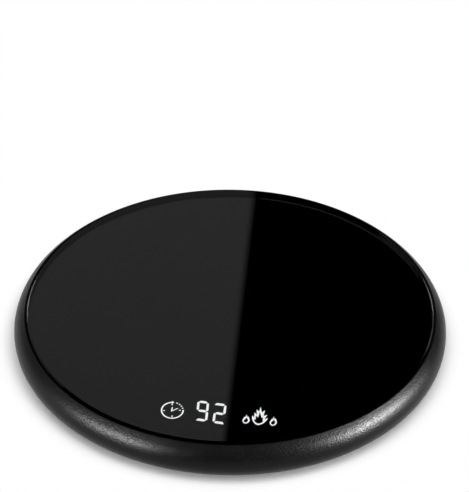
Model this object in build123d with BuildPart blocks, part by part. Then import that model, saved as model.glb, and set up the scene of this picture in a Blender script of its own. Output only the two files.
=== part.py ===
from build123d import *
import os
from math import acos, cos, degrees, radians, sin, sqrt

# A slim electric mug warmer: a glass-topped disc in a rounded black rim, with a lit display and
# touch keys at the front and a low-voltage inlet at the back. Millimetres, +Z up, front towards -Y.
# The origin is the centre of the circle that the feet stand on.

os.makedirs("parts", exist_ok=True)

# ------------------------------------------------------------------ driving dimensions

# Glass top
glass_radius = 61.0
glass_thickness = 3.0
glass_top_chamfer = 0.4
glass_bottom_chamfer = 0.2
glass_gap = 0.35  # between the glass and the wall of its pocket
print_gap = 0.1  # left under the glass for its printed ink

# Rim of the upper housing, whose section is two quarter ellipses that meet at the widest circle
rim_width = 4.0  # from the glass edge out to the widest circle
rim_rise = 6.2  # from the widest circle up to the glass top
rim_crown_reach = 12.7  # half-width of the upper ellipse
rim_lower_reach = 3.6
rim_lower_height = 4.8
rim_lip = 1.2  # flat bottom edge
rim_edge_radius = 0.3
ledge_width = 4.0  # of the ledge that carries the glass
ledge_thickness = 2.2
gasket_thickness = 0.3
gasket_inset = 0.5  # from each side of the ledge

# Base cover
foot_drop = 1.0  # of the feet below the base cover
dish_height = 2.6  # of the base cover below the rim
dish_flare = 4.0
dish_edge_radius = 1.2
shoulder_inset = 0.4  # of the dish's widest circle inside the rim's bottom edge
floor_thickness = 1.8
spigot_clearance = 0.15
spigot_wall = 1.7
spigot_height = 1.6
rib_thickness = 1.2
rib_height = 2.2
rib_hub_radius = 10.0
rib_board_gap = 0.9
vent_count = 16
vent_rib_gap = 6.5  # from each end of a vent to the rings of ribs
vent_width = 1.8

# Feet
foot_count = 4
foot_edge_gap = 7.0  # between a foot and the edge of the dish's flat
foot_radius = 6.0
foot_recess_depth = 0.8
foot_recess_clearance = 0.2
foot_edge = 0.5

# Bosses that hang from the ledge, and the screws in them
boss_radius = 3.0
gusset_thickness = 1.4
pilot_radius = 1.1
screw_thread_radius = 1.1
screw_hole_radius = 1.5
screw_head_radius = 2.4
screw_head_height = 1.4
screw_recess_arm = 2.6
screw_recess_width = 0.6
screw_recess_depth = 0.7
screw_edge = 0.5
screw_bite_length = 3.0  # of the thread in its boss
pilot_spare_length = 0.4  # of the boss's hole past the thread
housing_screw_angles = (45, 135, 225, 315)
plate_screw_angles = (-18, 18, 162, 198)
front_board_screw_angles = (240, 300)
rear_board_screw_angles = (60, 120)
post_height = 2.2
post_radius = 3.8
post_head_clearance = 0.2
post_seat = 1.8  # plastic left between the screw's head and the boss

# Heater, stacked under the glass
thermal_pad_thickness = 0.3
thermal_pad_inset = 0.5  # from the edge of the heater plate
heater_plate_thickness = 1.5
heater_plate_chamfer = 0.3
film_thickness = 0.3
film_inset = 1.0  # from the edge of the heater plate
film_tab_width = 13.0
film_tab_gap = 0.5  # between the tab and the mouths of the wire sockets
film_tab_corner = 1.5
track_thickness = 0.1
track_width = 2.2
track_inner_radius = 10.5
track_margin = 1.8  # of film outside the track
track_count = 5
track_front_gap = 3.4  # between the halves of the track, at the front
track_rear_gap = 6.4  # between the halves of the track, at the tab
insulation_thickness = 1.9
pressure_plate_thickness = 0.8
pressure_plate_margin = 1.0  # past the edge of the heater plate
pressure_ear_width = 8.5
pressure_ear_end = 3.4  # past the screw
pressure_bead_margin = 4.5  # of plate outside the bead
pressure_bead_width = 2.0
pressure_bead_height = 0.6  # below the plate
pressure_hole_radius = 4.0
pressure_hole_gap = 6.5  # between the holes and the bead
pressure_hole_angles = (180, 225, 270, 315)

# Temperature sensor and thermal cut-out
sensor_radius = 1.1
sensor_length = 4.5
sensor_hole_radius = 4.0
sensor_slot_angle = 104
sensor_slot_width = 3.4
cutout_x = 14.0
cutout_margin = 3.5  # of pressure plate past the corner of its slot
cutout_width = 6.2
cutout_length = 15.0
cutout_thickness = 3.0
cutout_clearance = 0.5
cutout_edge = 0.6

# Circuit boards, one under the display and one beside the inlet
board_lift = 1.6  # above the floor
board_thickness = 1.2
board_heater_gap = 2.5  # between the pressure plate and the boards
board_rim_gap = 1.15  # between the boards and the base cover's locating rim
board_half_angle = 37.0
board_corner = 1.2
display_board_angle = 270
power_board_angle = 90

# Display: a timer window, two digits and three flame windows
digit_width = 3.2
digit_height = 8.2
digit_pitch = 5.0
segment_width = 0.85
segment_gap = 0.12
timer_window_radius = 4.0
timer_window_x = -11.2
flame_window_x = 13.7
flame_window = (4.8, 8.6)
small_flame_window = (2.2, 4.8)
small_flame_offset = (3.95, -1.8)
window_corner = 0.8
light_box_ledge_gap = 0.7
light_box_heater_gap = 6.0
light_box_outer_wall = 1.2
light_box_inner_wall = 1.3
light_box_side_wall = 2.05
diffuser_thickness = 0.25
diffuser_inset = 0.5
led_size = (0.6, 0.6, 0.4)
icon_led_size = (1.6, 0.8, 0.6)

# Touch film on the underside of the glass, with its tail and socket
touch_film_thickness = 0.25
touch_margin = 0.4  # of the film's windows around the light box's
touch_tail_x = -16.5
touch_tail_width = 4.0
touch_tail_bend = 0.6
touch_tail_gap = 0.8  # between the tail and the light box
touch_tail_entry = 1.6  # of the tail in its socket
touch_tail_height = 0.8  # of the tail's end above the board
touch_socket_size = (6.4, 3.0, 1.6)
touch_socket_gap = 0.7  # between the tail and the socket's mouth
touch_slot_clearance = 0.15

# Inlet: a jack for a 3.5 x 1.35 mm barrel plug
inlet_flat_depth = 1.4  # of the flat recess in the back of the rim
inlet_flat_width = 12.0
jack_height = 5.0
jack_width = 6.6
jack_body_length = 9.0
jack_ledge_gap = 0.4
jack_nose_clearance = 0.2
jack_nose_setback = 0.2
jack_bore_radius = 1.95
jack_bore_length = 10.2
jack_pin_radius = 0.65
jack_pin_setback = 0.6  # of the pin's tip inside the bore's mouth
jack_pin_chamfer = 0.2
jack_pin_root_radius = 0.9
jack_pin_root_length = 3.0  # held in the body
jack_edge = 0.4
jack_terminal = (1.6, 0.5, 2.4)
jack_terminal_spacing = 3.6

# Components on the boards
controller_size = (7.0, 7.0, 1.0)
controller_x = -8.0
controller_edge_gap = 6.0  # from the board's inner edge
resistor_size = (0.8, 1.6, 0.45)
resistor_angles = (246, 249.5, 282, 286, 290, 294)
resistor_edge_gap = 4.3  # from the board's outer edge
choke_size = (7.0, 7.0, 4.0)
choke_x = 11.6
choke_inset = 5.3  # of its middle from the board's outer edge
choke_corner = 1.4
choke_core_radius = 2.7
choke_core_recess = 0.5
transistor_size = (6.0, 6.2, 1.6)
transistor_angle = 70.0
transistor_edge_gap = 2.1  # from the board's inner edge
capacitor_radius = 3.1
capacitor_height = 4.8
capacitor_x = (-11.0, -18.3)
capacitor_inset = (4.6, 6.0)  # of each one's middle from the board's outer edge
capacitor_base_height = 0.8
capacitor_base_margin = 0.2  # of the square base past the can
capacitor_base_corner = 0.8
capacitor_edge = 0.5
buzzer_radius = 4.2
buzzer_height = 3.0
buzzer_hole_radius = 0.8
buzzer_angle = 121.0
buzzer_edge_gap = 0.5  # from the board's inner edge
socket_edge_gap = 2.0  # between the board's inner edge and the mouths of the sockets
socket_length = 4.2
socket_height = 4.4
socket_wall = 0.7
heater_socket_angle = 80.0
heater_socket_width = 5.4
sensor_socket_angle = 104.0
sensor_socket_width = 4.6
link_socket_half_angle = 33.0  # from the front and back, on the right-hand side
link_socket_width = 4.6

# Wires
heater_wire_radius = 0.7
sensor_wire_radius = 0.4
sensor_wire_spacing = 1.0
sensor_wire_drop = 1.3  # along the lead's run down to its socket
link_cable_radius = 0.9
link_cable_inset = 2.4  # of the bends on the floor outside the middles of the sockets
link_cable_bend = 2.4
link_cable_lead = 7.5  # from the middle of each socket to the first bend
link_cable_floor_gap = 0.1
link_cable_turns = (39, 13, -13, -39)  # bends along the floor
wire_bend = 1.2
sensor_wire_bend = 0.8
wire_entry = 1.1  # of each wire inside its socket
wire_lead = 2.0  # straight run up to each socket
heater_wire_spacing = 2.0
heater_wire_drop = 0.4  # from each pad to the run across the tab
insulation_wire_gap = 0.1  # between the insulation and the wires soldered beside it
solder_inset = 0.9  # of the link's end from the middle of the right pad
solder_rise = 0.8
cutout_wire_spacing = 2.8

# ------------------------------------------------------------------ stations worked out from them

rim_radius = glass_radius + rim_width
pocket_radius = glass_radius + glass_gap
ledge_inner_radius = glass_radius - ledge_width
mouth_radius = rim_radius - rim_lower_reach - rim_lip
shoulder_radius = rim_radius - rim_lower_reach - shoulder_inset
dish_flat_radius = shoulder_radius - dish_flare
spigot_outer_radius = mouth_radius - spigot_clearance
spigot_inner_radius = spigot_outer_radius - spigot_wall
inlet_flat_y = rim_radius - inlet_flat_depth
boss_circle_radius = ledge_inner_radius - boss_radius
foot_circle_radius = dish_flat_radius - foot_edge_gap - foot_radius

# The display fits inside the ledge, with its outermost flame a wall away from the light box's edge.
light_box_outer_radius = ledge_inner_radius - light_box_ledge_gap
display_reach_x = flame_window_x + small_flame_offset[0] + small_flame_window[0] / 2
display_reach_y = -sqrt((light_box_outer_radius - light_box_outer_wall) ** 2 - display_reach_x**2)
display_y = display_reach_y + small_flame_window[1] / 2 - small_flame_offset[1]
light_box_inner_y = display_y + flame_window[1] / 2 + light_box_inner_wall
light_box_half_width = display_reach_x + light_box_side_wall

# The heater fills the space inside the display, and the boards the ring outside the heater.
heater_plate_radius = -light_box_inner_y - light_box_heater_gap
thermal_pad_radius = heater_plate_radius - thermal_pad_inset
film_radius = heater_plate_radius - film_inset
insulation_radius = heater_plate_radius
pressure_plate_radius = heater_plate_radius + pressure_plate_margin
pressure_bead_radius = pressure_plate_radius - pressure_bead_margin - pressure_bead_width / 2
pressure_hole_circle_radius = (
    pressure_bead_radius - pressure_bead_width / 2 - pressure_hole_gap - pressure_hole_radius
)
cutout_slot_x = cutout_x + cutout_width / 2 + cutout_clearance
cutout_slot_end_y = sqrt((pressure_plate_radius - cutout_margin) ** 2 - cutout_slot_x**2)
cutout_end_y = cutout_slot_end_y - cutout_clearance
cutout_start_y = cutout_end_y - cutout_length
board_inner_radius = pressure_plate_radius + board_heater_gap
board_outer_radius = spigot_inner_radius - board_rim_gap
rib_ring_radius = board_inner_radius - rib_board_gap - rib_thickness / 2
vent_circle_radius = (rib_hub_radius + rib_ring_radius) / 2
vent_length = rib_ring_radius - rib_hub_radius - 2 * vent_rib_gap
socket_mouth_radius = board_inner_radius + socket_edge_gap
socket_circle_radius = socket_mouth_radius + socket_length / 2
link_cable_circle_radius = socket_circle_radius + link_cable_inset
film_tab_reach = socket_mouth_radius - film_tab_gap

base_z = foot_drop
floor_top_z = base_z + floor_thickness
rim_bottom_z = base_z + dish_height
spigot_top_z = rim_bottom_z + spigot_height
equator_z = rim_bottom_z + rim_lower_height
glass_top_z = equator_z + rim_rise
glass_bottom_z = glass_top_z - glass_thickness
stack_top_z = glass_bottom_z - print_gap
ledge_top_z = stack_top_z - gasket_thickness
ledge_bottom_z = ledge_top_z - ledge_thickness

plate_top_z = stack_top_z - thermal_pad_thickness
plate_bottom_z = plate_top_z - heater_plate_thickness
film_bottom_z = plate_bottom_z - film_thickness
track_bottom_z = film_bottom_z - track_thickness
insulation_bottom_z = track_bottom_z - insulation_thickness
pressure_bottom_z = insulation_bottom_z - pressure_plate_thickness

board_bottom_z = floor_top_z + board_lift
board_top_z = board_bottom_z + board_thickness
post_top_z = floor_top_z + post_height
film_seat_z = stack_top_z - touch_film_thickness
light_box_top_z = film_seat_z - diffuser_thickness
jack_axis_z = board_top_z + jack_height / 2
jack_nose_radius = jack_height / 2
jack_body_front_y = ledge_inner_radius - jack_ledge_gap
jack_body_back_y = jack_body_front_y - jack_body_length
jack_mouth_y = inlet_flat_y - jack_nose_setback
jack_bore_end_y = jack_mouth_y - jack_bore_length

# The upper ellipse passes through the glass's top edge.
crown_centre_radius = rim_radius - rim_crown_reach
crown_height = rim_rise / sqrt(1 - ((glass_radius - crown_centre_radius) / rim_crown_reach) ** 2)
crown_span = degrees(acos((pocket_radius - crown_centre_radius) / rim_crown_reach))


# ------------------------------------------------------------------ helpers


def around(radius, angles, z=0.0, turn=0.0):
    """Places on a circle, each turned so that its own x points outwards, or by a turn from there."""
    return [
        Location((radius * cos(radians(a)), radius * sin(radians(a)), z), (0, 0, a + turn))
        for a in angles
    ]


def on_circle(radius, angle, z, sideways=0.0):
    """One point on a circle at a height, moved sideways along the tangent, anticlockwise."""
    across, along = cos(radians(angle)), sin(radians(angle))
    return (radius * across - sideways * along, radius * along + sideways * across, z)


def near_rim(x, inset):
    """Place on the power board, at an inset from its outer edge."""
    return (x, sqrt((board_outer_radius - inset) ** 2 - x**2))


def board(middle_angle, screw_angles):
    """Circuit board: a piece of a ring with rounded corners and two screw holes."""
    start = middle_angle - board_half_angle
    with BuildPart() as made:
        with BuildSketch(Plane.XY.offset(board_bottom_z)) as outline:
            with BuildLine():
                inner = CenterArc((0, 0), board_inner_radius, start, 2 * board_half_angle)
                outer = CenterArc((0, 0), board_outer_radius, start, 2 * board_half_angle)
                Line(inner @ 0, outer @ 0)
                Line(inner @ 1, outer @ 1)
            make_face()
            fillet(outline.vertices(), board_corner)
            with Locations(*around(boss_circle_radius, screw_angles)):
                Circle(screw_hole_radius, mode=Mode.SUBTRACT)
        extrude(amount=board_thickness)
    return made.part


def display_outline(inset):
    """Sketch of the space beside the heater that the display fills, inset all round."""
    with BuildSketch() as outline:
        Circle(light_box_outer_radius - inset)
        with Locations((0, light_box_inner_y - inset)):
            Rectangle(
                2 * (light_box_half_width - inset), light_box_outer_radius,
                align=(Align.CENTER, Align.MAX), mode=Mode.INTERSECT,
            )
        fillet(outline.vertices(), window_corner)
    return outline.sketch


def display_windows():
    """Sketch of the windows: a round timer, the bars of two digits, and three flames."""
    with BuildSketch() as windows:
        with Locations((timer_window_x, display_y)):
            Circle(timer_window_radius)
        for digit_x in digit_centres:
            for x, y, turn, length in digit_bars:
                with Locations(Location((digit_x + x, display_y + y, 0), (0, 0, turn))):
                    add(segment(length))
        with Locations((flame_window_x, display_y)):
            RectangleRounded(*flame_window, window_corner)
        with Locations(*small_flame_places):
            RectangleRounded(*small_flame_window, window_corner)
    return windows.sketch


def screw(thread_length):
    """Pan-head screw that points up, with its head's seat at z = 0."""
    with BuildPart() as made:
        with BuildSketch():
            Circle(screw_thread_radius)
        extrude(amount=thread_length)
        chamfer(made.edges().sort_by(Axis.Z)[-1], screw_thread_radius / 2)
        with BuildSketch(Plane.XY.offset(-screw_head_height)):
            Circle(screw_head_radius)
        extrude(amount=screw_head_height)
        chamfer(made.edges().sort_by(Axis.Z)[0], screw_edge)
        with BuildSketch(Plane.XY.offset(-screw_head_height)):
            Rectangle(screw_recess_arm, screw_recess_width)
            Rectangle(screw_recess_width, screw_recess_arm)
        extrude(amount=screw_recess_depth, mode=Mode.SUBTRACT)
    return made.part


def segment(length):
    """Sketch of one bar of a digit, pointed at both ends."""
    tip, side = length / 2, segment_width / 2
    with BuildSketch() as bar:
        with BuildLine():
            Polyline(
                (-tip, 0), (side - tip, side), (tip - side, side),
                (tip, 0), (tip - side, -side), (side - tip, -side),
                close=True,
            )
        make_face()
    return bar.sketch


def wire(points, radius, bend):
    """Round wire along straight runs joined by arcs."""
    with BuildPart() as made:
        with BuildLine() as route:
            FilletPolyline(*points, radius=bend)
        with BuildSketch(Plane(origin=route.line @ 0, z_dir=route.line % 0)):
            Circle(radius)
        sweep()
    return made.part


def socket(width):
    """Wire socket that stands on z = 0, with its mouth towards -x."""
    with BuildPart() as made:
        with BuildSketch():
            Rectangle(socket_length, width)
        extrude(amount=socket_height)
        with BuildSketch(Plane.YZ.offset(-socket_length / 2)):
            with Locations((0, socket_height / 2)):
                Rectangle(width - 2 * socket_wall, socket_height - 2 * socket_wall)
        extrude(amount=socket_length - socket_wall, mode=Mode.SUBTRACT)
    return made.part


# Bars of a digit: place of the middle, turn, and length
flat_bar = digit_width - segment_width - 2 * segment_gap
upright_bar = (digit_height - segment_width) / 2 - 2 * segment_gap
bar_x = (digit_width - segment_width) / 2
bar_y = (digit_height - segment_width) / 2
digit_bars = (
    (0, bar_y, 0, flat_bar), (0, 0, 0, flat_bar), (0, -bar_y, 0, flat_bar),
    (-bar_x, bar_y / 2, 90, upright_bar), (bar_x, bar_y / 2, 90, upright_bar),
    (-bar_x, -bar_y / 2, 90, upright_bar), (bar_x, -bar_y / 2, 90, upright_bar),
)
digit_centres = (-digit_pitch / 2, digit_pitch / 2)
small_flame_places = [
    (flame_window_x + side * small_flame_offset[0], display_y + small_flame_offset[1])
    for side in (-1, 1)
]

# ------------------------------------------------------------------ upper housing

with BuildPart() as upper_housing:
    with BuildSketch(Plane.XZ) as ring_section:
        with BuildLine():
            crown = EllipticalCenterArc(
                (crown_centre_radius, equator_z), rim_crown_reach, crown_height, 0, arc_size=crown_span
            )
            under = EllipticalCenterArc(
                (rim_radius - rim_lower_reach, equator_z),
                rim_lower_reach, rim_lower_height, 270, arc_size=90,
            )
            Polyline(
                under @ 0,
                (mouth_radius, rim_bottom_z),
                (mouth_radius, ledge_bottom_z),
                (ledge_inner_radius, ledge_bottom_z),
                (ledge_inner_radius, ledge_top_z),
                (pocket_radius, ledge_top_z),
                crown @ 1,
            )
        make_face()
        fillet(ring_section.vertices().sort_by(Axis.Y)[-1], rim_edge_radius)
    revolve(axis=Axis.Z)

    for angles, bottom_z in (
        (housing_screw_angles, post_top_z),
        (plate_screw_angles, insulation_bottom_z),
        (front_board_screw_angles, board_top_z),
        (rear_board_screw_angles, board_top_z),
    ):
        # A lug carries each boss at the ledge, and a gusset below it reaches the rim's inner wall.
        with BuildSketch(Plane.XY.offset(ledge_bottom_z)):
            with Locations(*around(boss_circle_radius, angles)):
                Circle(boss_radius)
                Rectangle(
                    ledge_inner_radius - boss_circle_radius + rim_edge_radius, 2 * boss_radius,
                    align=(Align.MIN, Align.CENTER),
                )
        extrude(amount=ledge_thickness)
        with BuildSketch(Plane.XY.offset(bottom_z)):
            with Locations(*around(boss_circle_radius, angles)):
                Circle(boss_radius)
        extrude(amount=ledge_bottom_z - bottom_z)
        gusset_bottom_z = max(bottom_z, spigot_top_z + spigot_clearance)
        with BuildSketch(Plane.XY.offset(gusset_bottom_z)):
            with Locations(*around(boss_circle_radius, angles)):
                Rectangle(
                    mouth_radius - boss_circle_radius + rim_edge_radius, gusset_thickness,
                    align=(Align.MIN, Align.CENTER),
                )
        extrude(amount=ledge_bottom_z - gusset_bottom_z)
        with BuildSketch(Plane.XY.offset(bottom_z)):
            with Locations(*around(boss_circle_radius, angles)):
                Circle(pilot_radius)
        extrude(amount=screw_bite_length + pilot_spare_length, mode=Mode.SUBTRACT)

    # Flat and hole for the inlet, at the back
    with BuildSketch(Plane.XZ.offset(-inlet_flat_y)):
        with Locations((0, equator_z)):
            Rectangle(inlet_flat_width, 2 * glass_top_z)
    extrude(amount=-inlet_flat_depth, mode=Mode.SUBTRACT)
    with BuildSketch(Plane.XZ.offset(-inlet_flat_y)):
        with Locations((0, jack_axis_z)):
            Circle(jack_nose_radius + jack_nose_clearance)
    extrude(amount=inlet_flat_y - jack_body_front_y, mode=Mode.SUBTRACT)
upper_housing.part.label = "upper_housing"
export_step(upper_housing.part, "parts/upper_housing.step")

# ------------------------------------------------------------------ base cover

with BuildPart() as base_cover:
    with BuildSketch(Plane.XZ) as dish_section:
        with BuildLine():
            Polyline(
                (0, base_z),
                (dish_flat_radius, base_z),
                (shoulder_radius, rim_bottom_z),
                (spigot_outer_radius, rim_bottom_z),
                (spigot_outer_radius, spigot_top_z),
                (spigot_inner_radius, spigot_top_z),
                (spigot_inner_radius, rim_bottom_z),
                (spigot_inner_radius - dish_flare / 2, floor_top_z),
                (0, floor_top_z),
                close=True,
            )
        make_face()
        fillet(
            dish_section.vertices().group_by(Axis.Y)[0].sort_by(Axis.X)[-1], dish_edge_radius
        )
    revolve(axis=Axis.Z)

    # Ribs under the heater
    with BuildSketch(Plane.XY.offset(floor_top_z)):
        for radius in (rib_hub_radius, rib_ring_radius):
            Circle(radius + rib_thickness / 2)
            Circle(radius - rib_thickness / 2, mode=Mode.SUBTRACT)
        with Locations(*around(rib_hub_radius, range(0, 360, 45))):
            Rectangle(rib_ring_radius - rib_hub_radius, rib_thickness, align=(Align.MIN, Align.CENTER))
    extrude(amount=rib_height)

    # Posts for the housing screws
    with BuildSketch(Plane.XY.offset(floor_top_z)):
        with Locations(*around(boss_circle_radius, housing_screw_angles)):
            Circle(post_radius)
    extrude(amount=post_height)
    with BuildSketch(Plane.XY.offset(base_z)):
        with Locations(*around(boss_circle_radius, housing_screw_angles)):
            Circle(screw_hole_radius)
    extrude(amount=post_top_z - base_z, mode=Mode.SUBTRACT)
    with BuildSketch(Plane.XY.offset(base_z)):
        with Locations(*around(boss_circle_radius, housing_screw_angles)):
            Circle(screw_head_radius + post_head_clearance)
    extrude(amount=post_top_z - post_seat - base_z, mode=Mode.SUBTRACT)

    # Seats for the feet
    with BuildSketch(Plane.XY.offset(base_z)):
        with PolarLocations(foot_circle_radius, foot_count):
            Circle(foot_radius + foot_recess_clearance)
    extrude(amount=foot_recess_depth, mode=Mode.SUBTRACT)

    # Vents through the floor
    with BuildSketch(Plane.XY.offset(base_z)):
        with PolarLocations(vent_circle_radius, vent_count, start_angle=180 / vent_count):
            SlotOverall(vent_length, vent_width)
    extrude(amount=floor_thickness, mode=Mode.SUBTRACT)
base_cover.part.label = "base_cover"
export_step(base_cover.part, "parts/base_cover.step")

with BuildPart() as rubber_feet:
    with BuildSketch():
        with PolarLocations(foot_circle_radius, foot_count):
            Circle(foot_radius)
    extrude(amount=foot_drop + foot_recess_depth)
    chamfer(rubber_feet.edges().group_by(Axis.Z)[0], foot_edge)
rubber_feet.part.label = "rubber_feet"
export_step(rubber_feet.part, "parts/rubber_feet.step")

# ------------------------------------------------------------------ glass top

with BuildPart() as glass_panel:
    with BuildSketch(Plane.XY.offset(glass_bottom_z)):
        Circle(glass_radius)
    extrude(amount=glass_thickness)
    chamfer(glass_panel.edges().group_by(Axis.Z)[-1], glass_top_chamfer)
    chamfer(glass_panel.edges().group_by(Axis.Z)[0], glass_bottom_chamfer)
glass_panel.part.label = "glass_panel"
export_step(glass_panel.part, "parts/glass_panel.step")

with BuildPart() as glass_gasket:
    with BuildSketch(Plane.XY.offset(ledge_top_z)):
        Circle(glass_radius - gasket_inset)
        Circle(ledge_inner_radius + gasket_inset, mode=Mode.SUBTRACT)
    extrude(amount=gasket_thickness)
glass_gasket.part.label = "glass_gasket"
export_step(glass_gasket.part, "parts/glass_gasket.step")

# ------------------------------------------------------------------ heater

with BuildPart() as thermal_pad:
    with BuildSketch(Plane.XY.offset(plate_top_z)):
        Circle(thermal_pad_radius)
    extrude(amount=thermal_pad_thickness)
thermal_pad.part.label = "thermal_pad"
export_step(thermal_pad.part, "parts/thermal_pad.step")

with BuildPart() as heater_plate:
    with BuildSketch(Plane.XY.offset(plate_bottom_z)):
        Circle(heater_plate_radius)
    extrude(amount=heater_plate_thickness)
    chamfer(heater_plate.edges().group_by(Axis.Z)[-1], heater_plate_chamfer)
heater_plate.part.label = "heater_plate"
export_step(heater_plate.part, "parts/heater_plate.step")

with BuildPart() as heater_film:
    with BuildSketch(Plane.XY.offset(film_bottom_z)) as film_outline:
        Rectangle(film_tab_width, film_tab_reach, align=(Align.CENTER, Align.MIN))
        fillet(film_outline.vertices().group_by(Axis.Y)[-1], film_tab_corner)
        Circle(film_radius)
        Circle(sensor_hole_radius, mode=Mode.SUBTRACT)
    extrude(amount=film_thickness)
heater_film.part.label = "heater_film"
export_step(heater_film.part, "parts/heater_film.step")

# The track runs from one side of the tab inwards, arc by arc, crosses over and comes back.
track_outer_radius = film_radius - track_margin - track_width / 2
track_pitch = (track_outer_radius - track_inner_radius) / (track_count - 1)
track_radii = [track_inner_radius + i * track_pitch for i in range(track_count)]
pad_reach = film_tab_reach - film_tab_corner

with BuildPart() as heater_track:
    with BuildSketch(Plane.XY.offset(film_bottom_z)):
        for i, radius in enumerate(track_radii):
            front = degrees(track_front_gap / 2 / radius)
            rear = degrees(track_rear_gap / 2 / radius)
            with BuildLine() as halves:
                CenterArc((0, 0), radius, -90 + front, 180 - front - rear)
                mirror(about=Plane.YZ)
            trace(line_width=track_width)
        for i, radius in enumerate(track_radii[:-1]):
            # The arcs are joined in turn at the front and at the rear.
            gap, side = (track_front_gap, -1) if i % 2 else (track_rear_gap, 1)
            link_x = (gap + track_width) / 2
            with Locations(*[(s * link_x, side * (radius + track_pitch / 2)) for s in (-1, 1)]):
                Rectangle(track_width, track_pitch + track_width)
        with Locations((0, -track_inner_radius)):
            Rectangle(track_front_gap + track_width, track_width)
        tail_x = (track_rear_gap + track_width) / 2
        with Locations(*[(s * tail_x, track_radii[-1] - track_width / 2) for s in (-1, 1)]):
            Rectangle(track_width, pad_reach - track_radii[-1], align=(Align.CENTER, Align.MIN))
    extrude(amount=-track_thickness)
heater_track.part.label = "heater_track"
export_step(heater_track.part, "parts/heater_track.step")

with BuildPart() as insulation_pad:
    with BuildSketch(Plane.XY.offset(insulation_bottom_z)):
        Circle(insulation_radius)
        Circle(sensor_hole_radius, mode=Mode.SUBTRACT)
        with Locations(*around(0, (sensor_slot_angle,))):
            Rectangle(
                insulation_radius + 1, sensor_slot_width,
                align=(Align.MIN, Align.CENTER), mode=Mode.SUBTRACT,
            )
        with Locations((cutout_x, cutout_start_y - cutout_clearance)):
            Rectangle(
                cutout_width + 2 * cutout_clearance, insulation_radius,
                align=(Align.CENTER, Align.MIN), mode=Mode.SUBTRACT,
            )
    extrude(amount=insulation_thickness)
insulation_pad.part.label = "insulation_pad"
export_step(insulation_pad.part, "parts/insulation_pad.step")

with BuildPart() as pressure_plate:
    with BuildSketch(Plane.XY.offset(pressure_bottom_z)) as plate_outline:
        Circle(pressure_plate_radius)
        with Locations(*around(0, plate_screw_angles)):
            Rectangle(
                boss_circle_radius + pressure_ear_end, pressure_ear_width, align=(Align.MIN, Align.CENTER)
            )
        fillet(
            plate_outline.vertices().filter_by(lambda v: v.X**2 > boss_circle_radius**2 / 2),
            pressure_ear_end / 2,
        )
    extrude(amount=pressure_plate_thickness)
    bead_bottom_z = pressure_bottom_z - pressure_bead_height
    with BuildSketch(Plane.XY.offset(bead_bottom_z)):
        Circle(pressure_bead_radius + pressure_bead_width / 2)
        Circle(pressure_bead_radius - pressure_bead_width / 2, mode=Mode.SUBTRACT)
    extrude(amount=pressure_bead_height)
    with BuildSketch(Plane.XY.offset(bead_bottom_z)):
        with Locations(*around(boss_circle_radius, plate_screw_angles)):
            Circle(screw_hole_radius)
        with Locations(*around(pressure_hole_circle_radius, pressure_hole_angles)):
            Circle(pressure_hole_radius)
        with Locations((cutout_x, cutout_start_y - cutout_clearance)):
            Rectangle(
                cutout_width + 2 * cutout_clearance, cutout_length + 2 * cutout_clearance,
                align=(Align.CENTER, Align.MIN),
            )
    extrude(amount=pressure_bead_height + pressure_plate_thickness, mode=Mode.SUBTRACT)
pressure_plate.part.label = "pressure_plate"
export_step(pressure_plate.part, "parts/pressure_plate.step")

# The sensor's capsule lies against the heater plate, in line with its slot.
sensor_z = plate_bottom_z - sensor_radius
sensor_end = on_circle(-sensor_length / 2, sensor_slot_angle, sensor_z)
with BuildPart() as temperature_sensor:
    with BuildSketch(Plane(sensor_end, z_dir=on_circle(1, sensor_slot_angle, 0))):
        Circle(sensor_radius)
    extrude(amount=sensor_length)
    chamfer(temperature_sensor.edges().filter_by(GeomType.CIRCLE), sensor_radius / 2)
temperature_sensor.part.label = "temperature_sensor"
export_step(temperature_sensor.part, "parts/temperature_sensor.step")

with BuildPart() as thermal_cutout:
    with BuildSketch(Plane.XY.offset(track_bottom_z)):
        with Locations((cutout_x, cutout_start_y)):
            Rectangle(cutout_width, cutout_length, align=(Align.CENTER, Align.MIN))
    extrude(amount=-cutout_thickness)
    fillet(thermal_cutout.edges().filter_by(Axis.Y), cutout_edge)
thermal_cutout.part.label = "thermal_cutout"
export_step(thermal_cutout.part, "parts/thermal_cutout.step")

# ------------------------------------------------------------------ screws

with BuildPart() as plate_screws:
    with Locations(*around(boss_circle_radius, plate_screw_angles, pressure_bottom_z)):
        add(screw(pressure_plate_thickness + screw_bite_length))
plate_screws.part.label = "plate_screws"
export_step(plate_screws.part, "parts/plate_screws.step")

with BuildPart() as board_screws:
    board_screw_angles = front_board_screw_angles + rear_board_screw_angles
    with Locations(*around(boss_circle_radius, board_screw_angles, board_bottom_z)):
        add(screw(board_thickness + screw_bite_length))
board_screws.part.label = "board_screws"
export_step(board_screws.part, "parts/board_screws.step")

with BuildPart() as housing_screws:
    with Locations(*around(boss_circle_radius, housing_screw_angles, post_top_z - post_seat)):
        add(screw(post_seat + screw_bite_length))
housing_screws.part.label = "housing_screws"
export_step(housing_screws.part, "parts/housing_screws.step")

# ------------------------------------------------------------------ display

display_board = board(display_board_angle, front_board_screw_angles)
display_board.label = "display_board"
export_step(display_board, "parts/display_board.step")

with BuildPart() as light_box:
    with BuildSketch(Plane.XY.offset(board_top_z)):
        add(display_outline(0))
        add(display_windows(), mode=Mode.SUBTRACT)
    extrude(amount=light_box_top_z - board_top_z)
light_box.part.label = "light_box"
export_step(light_box.part, "parts/light_box.step")

with BuildPart() as display_leds:
    with BuildSketch(Plane.XY.offset(board_top_z)):
        for digit_x in digit_centres:
            with Locations(*[(digit_x + x, display_y + y) for x, y, turn, length in digit_bars]):
                Rectangle(*led_size[:2])
    extrude(amount=led_size[2])
    with BuildSketch(Plane.XY.offset(board_top_z)):
        with Locations((timer_window_x, display_y), (flame_window_x, display_y), *small_flame_places):
            Rectangle(*icon_led_size[:2])
    extrude(amount=icon_led_size[2])
display_leds.part.label = "display_leds"
export_step(display_leds.part, "parts/display_leds.step")

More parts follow.
